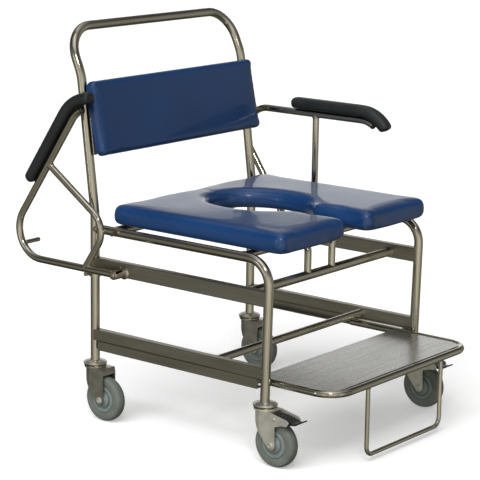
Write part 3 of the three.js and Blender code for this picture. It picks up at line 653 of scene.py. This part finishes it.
for side, s in sides:
    joint = joints[f"arm_swing_{side}"]
    pivot = Vector(joint["pos_m"])
    swung = -radians(joint["range_deg"][1])
    body = f"arm_{side}"

    def on_arm(bm, aside=0.0):
        """Takes a shape drawn from the pivot, in use, to the arm's own place."""
        bmesh.ops.translate(bm, verts=bm.verts, vec=(aside, 0, 0))
        bmesh.ops.rotate(bm, verts=bm.verts, cent=(0, 0, 0), matrix=Matrix.Rotation(swung, 3, "X"))
        bmesh.ops.translate(bm, verts=bm.verts, vec=pivot)
        return bm

    rear_corner = (0, -arm_height / tan(arm_rise), arm_height)
    front_corner = (0, -pad_to - arm_bend * tan(curl_turn / 2), arm_height)
    nose = (0, -pad_to - arm_bend * sin(curl_turn), curl_centre + arm_bend * cos(curl_turn))
    tube = bent_tube([(0, 0, 0), rear_corner, front_corner, nose], [arm_bend, arm_bend - 1e-5], arm_radius)
    place(shown(f"arm_{side}_tube", on_arm(tube), polished_tube), body, "polished_tube", f"arm_tube_{side}")
    brace = bent_tube([(0, -brace_forward, arm_height), (0, -brace_forward, brace_low),
                       (0, -brace_low / tan(arm_rise), brace_low)], [brace_bend], brace_radius)
    place(shown(f"arm_{side}_brace", on_arm(brace), polished_tube), body, "polished_tube",
          f"arm_brace_{side}")

    sleeve = lathe(bmesh.new(), [
        (0.0086, -0.012), (0.0112, -0.012), (0.012, -0.0112), (0.012, 0.0112), (0.0112, 0.012),
        (0.0086, 0.012), (0.0086, -0.012),
    ], (0, 0, 0), (1, 0, 0), 40)
    place(shown(f"arm_{side}_sleeve", on_arm(sleeve), polished_tube), body, "polished_tube")

    bend_middle = -arm_height / tan(arm_rise) - arm_bend * tan(arm_rise / 2)
    pin_y = bend_middle - arm_bend * cos(pin_turn)
    pin_z = curl_centre + arm_bend * sin(pin_turn)
    pin = bent_tube([(0, pin_y, pin_z), (-s * 0.0625, pin_y, pin_z)], [], pin_radius, 20)
    lathe(pin, [(0, 0.0645), (0.0045, 0.0642), (pin_radius, 0.0625), (pin_radius, 0.0605)],
          (0, pin_y, pin_z), (-s, 0, 0), 20)
    place(shown(f"arm_{side}_stop_pin", on_arm(pin), polished_tube), body, "polished_tube")

    seams = bmesh.new()
    weld_bead(seams, (0, -brace_forward, arm_height - arm_radius), (0, 0, 1), brace_radius, 0.0016)
    weld_bead(seams, (-s * arm_radius * 0.9, pin_y, pin_z), (1, 0, 0), pin_radius, 0.0013)
    weld_bead(seams, (0, -0.0115 * cos(arm_rise), 0.0115 * sin(arm_rise)), (0, -cos(arm_rise), sin(arm_rise)),
              arm_radius, 0.0014)
    bmesh.ops.remove_doubles(seams, verts=seams.verts, dist=1e-6)
    bmesh.ops.recalc_face_normals(seams, faces=seams.faces)
    place(shown(f"arm_{side}_weld_beads", on_arm(seams), weld_metal), body, "polished_tube")

    pad = shown(f"arm_{side}_pad", on_arm(arm_pad()), pad_foam, crease=80)
    rounder = pad.modifiers.new("rounder", "SUBSURF")
    rounder.levels = rounder.render_levels = 2
    place(pad, body, "arm_pad_foam", f"arm_pad_{side}")

    aim = Vector((0, -cos(curl_turn), -sin(curl_turn)))
    plug = lathe(bmesh.new(), [
        (0, 0.0002), (0.0096, 0.0002), (0.0099, 0.001), (0.0096, 0.0032), (0.0075, 0.0056), (0.004, 0.0068),
        (0, 0.0071),
    ], nose, aim, 32)
    place(shown(f"arm_{side}_end_plug", on_arm(plug), black_plastic), body, "black_plastic",
          f"arm_end_plug_{side}")

    # The bolt, with the flared boss welded on the rail and its domed head outside.
    spindle_low, spindle_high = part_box(f"arm_spindle_{side}")
    reach = abs(spindle_low.x - pivot.x) if s > 0 else abs(spindle_high.x - pivot.x)
    head = max(abs(spindle_low.x), abs(spindle_high.x)) - abs(pivot.x)
    profile = [(0, -reach), (0.018, -reach), (0.0176, -reach + 0.001), (0.0145, -reach + 0.0028),
               (0.0118, -reach + 0.0048), (0.0112, -0.0125), (0.008, -0.0123), (0.008, 0.0123),
               (0.0112, 0.0123), (0.0114, 0.0132), (0.0092, 0.0136), (0.0092, 0.0152),
               (0.0085, head - 0.0014), (0.005, head - 0.0003), (0, head)]
    spindle = lathe(bmesh.new(), profile, pivot, (s, 0, 0), 40)
    place(shown(f"arm_{side}_bolt", spindle, polished_tube), "frame", "polished_tube", f"arm_spindle_{side}")
    place(refined(f"arm_rest_collar_{side}", f"arm_{side}_rest_peg", polished_tube, 0.0008), "frame",
          "polished_tube", f"arm_rest_collar_{side}")

# ---------------------------------------------------------------- footrest
# A U of thin stainless tube slides in the side channels. A folded plate, brushed across the chair,
# lies inside it, and a welded rod loop under the front tube keeps the chair from tipping.
brushed_plate = finish("brushed_plate", (0.72, 0.715, 0.71), 0.34, 1.0)
plate_lines = pattern(brushed_plate, "noise", 1, (5, 900, 900), 4)
plate_haze = pattern(brushed_plate, "noise", 1, (3, 12, 12), 3)
shade(brushed_plate, plate_lines, 0.84, 1.06)
shade(brushed_plate, plate_haze, 0.88, 1.05)
roughen(brushed_plate, plate_lines, 0.20, 0.36)
relief(brushed_plate, plate_lines, 0.00003)
plate_dots = pattern(brushed_plate, "cells", 300, (1, 1, 0.2))
shade(brushed_plate, plate_dots, 1.04, 0.80, 0.2, 0.9)
relief(brushed_plate, plate_dots, 0.00012)
foot_low, foot_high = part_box("footrest_tube")
foot_radius = (foot_high.z - foot_low.z) / 2
foot_x = foot_high.x - foot_radius
foot_y = foot_low.y + foot_radius
foot_z_mid = (foot_high.z + foot_low.z) / 2
foot_bend = 0.066
foot_corners = [(-foot_x, foot_high.y, foot_z_mid), (-foot_x, foot_y, foot_z_mid),
                (foot_x, foot_y, foot_z_mid), (foot_x, foot_high.y, foot_z_mid)]
place(shown("footrest_bar", bent_tube(foot_corners, [foot_bend, foot_bend], foot_radius), polished_tube),
      "footrest", "polished_tube", "footrest_tube")
place(refined("footrest_plate", "footrest_plate_brushed", brushed_plate, 0.0008), "footrest", "brushed_steel",
      "footrest_plate")

loop_low, loop_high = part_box("anti_tip_loop")
loop_radius = (loop_high.y - loop_low.y) / 2
loop_x = loop_high.x - loop_radius
loop_z = loop_low.z + loop_radius
loop_corners = [(-loop_x, foot_y, foot_z_mid), (-loop_x, foot_y, loop_z), (loop_x, foot_y, loop_z),
                (loop_x, foot_y, foot_z_mid)]
place(shown("anti_tip_rod", bent_tube(loop_corners, [0.024, 0.024], loop_radius, 24), polished_tube),
      "footrest", "polished_tube", "anti_tip_loop")
loop_beads = bmesh.new()
for s in (1, -1):
    weld_bead(loop_beads, (s * loop_x, foot_y, foot_low.z), (0, 0, 1), loop_radius, 0.0013)
bmesh.ops.remove_doubles(loop_beads, verts=loop_beads.verts, dist=1e-6)
bmesh.ops.recalc_face_normals(loop_beads, faces=loop_beads.faces)
place(shown("footrest_weld_beads", loop_beads, weld_metal), "footrest", "polished_tube")

nylon = finish("nylon", (0.80, 0.79, 0.74), 0.45, 0.0, Subsurface_Weight=0.1)
shade(nylon, pattern(nylon, "noise", 60, detail=3), 0.9, 1.02)
for side, s in sides:
    place(refined(f"slide_shoe_{side}", f"slide_shoe_{side}_nylon", nylon, 0.001), "footrest", "nylon",
          f"slide_shoe_{side}")

# ---------------------------------------------------------------- castors
# A domed steel head on the tube's end; under it a black ring, which paints the shade of the gap there, and a
# ball race;
# a pressed fork, and a grey rubber tyre on a moulded hub. The front forks carry a black brake pedal between
# two forward arms.
pressed_steel = finish("pressed_steel", (0.78, 0.76, 0.67), 0.40, 0.75)
# The rear forks' steel is a darker, smoother copy of the fork steel: its darker colour is painted shade.
shaded_polished_steel = finish("shaded_polished_steel", (0.44, 0.43, 0.37), 0.26, 0.9)
for material, dull in ((pressed_steel, 0.36), (shaded_polished_steel, 0.20)):
    press_haze = pattern(material, "noise", 40, detail=4)
    shade(material, press_haze, 0.82, 1.06)
    roughen(material, press_haze, dull, dull + 0.14)
    relief(material, pattern(material, "noise", 1, (500, 500, 60), 3), 0.00004)
head_steel = finish("head_steel", (0.70, 0.68, 0.61), 0.30, 0.9)
head_haze = pattern(head_steel, "noise", 90, detail=4)
shade(head_steel, head_haze, 0.78, 1.1)
roughen(head_steel, head_haze, 0.20, 0.40)
brass_race = finish("brass_race", (0.55, 0.42, 0.20), 0.3, 1.0)
shade(brass_race, pattern(brass_race, "noise", 120, detail=3), 0.75, 1.1)
grey_rubber = finish("grey_rubber", (0.145, 0.162, 0.142), 0.46)
rubber_tone = pattern(grey_rubber, "noise", 30, detail=4)
rubber_scuff = pattern(grey_rubber, "noise", 240, detail=4)
shade(grey_rubber, rubber_tone, 0.82, 1.12)
shade(grey_rubber, rubber_scuff, 0.9, 1.06)
roughen(grey_rubber, rubber_scuff, 0.42, 0.62)
relief(grey_rubber, rubber_scuff, 0.0001)
hub_plastic = finish("hub_plastic", (0.19, 0.225, 0.22), 0.32)
hub_tone = pattern(hub_plastic, "noise", 50, detail=3)
shade(hub_plastic, hub_tone, 0.86, 1.08)
roughen(hub_plastic, hub_tone, 0.26, 0.42)
relief(hub_plastic, hub_tone, 0.00005)

side_face = [(0.0378, 0.0148), (0.0392, 0.0152), (0.0505, 0.0158), (0.0528, 0.0155), (0.0538, 0.0149),
             (0.0550, 0.0155), (0.0568, 0.0149), (0.0590, 0.0130), (0.0608, 0.0098), (0.0620, 0.0055),
             (0.0625, 0.0012)]
hub_face = [(0.0064, 0.0200), (0.0128, 0.0200), (0.0142, 0.0194), (0.0150, 0.0176), (0.0205, 0.0162),
            (0.0222, 0.0150), (0.0230, 0.0112), (0.0268, 0.0112), (0.0276, 0.0150), (0.0290, 0.0160),
            (0.0352, 0.0160), (0.0370, 0.0146)]


def both_faces(half):
    """Closes a wheel's profile with the same face on its other side."""
    return half + [(r, -x) for r, x in reversed(half)] + half[:1]


for side, s in sides:
    for end in ("front", "rear"):
        tag = f"{end}_{side}"
        body = f"caster_{tag}"
        head_low, head_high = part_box(f"caster_head_{tag}")
        stem = Vector(((head_low.x + head_high.x) / 2, (head_low.y + head_high.y) / 2, 0))
        base = head_low.z
        head = lathe(bmesh.new(), [
            (0, base), (0.0270, base), (0.0272, base + 0.0018), (0.0322, base + 0.0018),
            (0.0330, base + 0.0030), (0.0328, base + 0.0044), (0.0308, base + 0.0060),
            (0.0288, base + 0.0056), (0.0272, base + 0.0066), (0.0235, base + 0.0088),
            (0.0170, base + 0.0104), (0.0142, base + 0.0112), (0.0140, base + 0.0114), (0, base + 0.0114),
        ], stem, (0, 0, 1), 56)
        place(shown(f"{tag}_head", head, head_steel), "frame", "zinc_steel", f"caster_head_{tag}")
        # A black ring under the head's flange: its black is painted shade for the dark gap between head and
        # race.
        painted_gap_ring = lathe(bmesh.new(), [
            (0.0274, base - 0.0004), (0.0316, base - 0.0004), (0.0320, base + 0.0004),
            (0.0316, base + 0.0016), (0.0274, base + 0.0016), (0.0274, base - 0.0004),
        ], stem, (0, 0, 1), 48)
        place(shown(f"{tag}_seal", painted_gap_ring, black_plastic), "frame", "black_plastic")
        race = lathe(bmesh.new(), [
            (0.0262, base - 0.0032), (0.0305, base - 0.0032), (0.0314, base - 0.0022),
            (0.0308, base - 0.0010), (0.0262, base - 0.0008), (0.0262, base - 0.0032),
        ], stem, (0, 0, 1), 48)
        place(shown(f"{tag}_race", race, brass_race), body, "zinc_steel")
        # The rear forks take the darker copy of the steel, whose darker colour is painted shade.
        fork_steel = pressed_steel if end == "front" else shaded_polished_steel
        place(refined(f"caster_fork_{tag}", f"{tag}_fork", fork_steel, 0.0007, crease=32), body,
              "zinc_steel", f"caster_fork_{tag}")

        tyre_low, tyre_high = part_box(f"caster_tyre_{tag}")
        axle = (tyre_low + tyre_high) / 2
        tyre = lathe(bmesh.new(), both_faces(side_face), axle, (1, 0, 0), 96)
        place(shown(f"{tag}_tyre", tyre, grey_rubber, crease=50), f"wheel_{tag}", "grey_tyre",
              f"caster_tyre_{tag}")
        hub = lathe(bmesh.new(), both_faces(hub_face), axle, (1, 0, 0), 72)
        place(shown(f"{tag}_hub", hub, hub_plastic), f"wheel_{tag}", "hub_plastic", f"caster_hub_{tag}")
        bolt_half = [(0.006, 0.0), (0.006, 0.0273), (0.0095, 0.0273), (0.0095, 0.0284), (0.0078, 0.0287),
                     (0.0074, 0.0306), (0.0058, 0.0315), (0.0036, 0.0312), (0.0028, 0.0302), (0, 0.0302)]
        bolt_profile = [(r, -x) for r, x in reversed(bolt_half)] + bolt_half[1:]
        bolt = lathe(bmesh.new(), bolt_profile, axle, (1, 0, 0), 32)
        place(shown(f"{tag}_axle_bolt", bolt, pressed_steel), body, "zinc_steel", f"caster_axle_{tag}")
        if end == "front":
            place(refined(f"brake_pedal_{tag}", f"{tag}_brake_pedal", black_plastic, 0.0012), f"pedal_{tag}",
                  "black_plastic", f"brake_pedal_{tag}")
            pedal_joint = Vector(joints[f"brake_pedal_{tag}"]["pos_m"])
            rivets = bmesh.new()
            for way in (1, -1):
                lathe(rivets, [(0.003, 0.0272), (0.0052, 0.0272), (0.005, 0.0286), (0.0032, 0.0298),
                               (0, 0.0301)], pedal_joint, (way, 0, 0), 24)
            bmesh.ops.holes_fill(rivets, edges=rivets.edges, sides=0)
            bmesh.ops.recalc_face_normals(rivets, faces=rivets.faces)
            place(shown(f"{tag}_pedal_rivets", rivets, pressed_steel), f"pedal_{tag}", "zinc_steel")
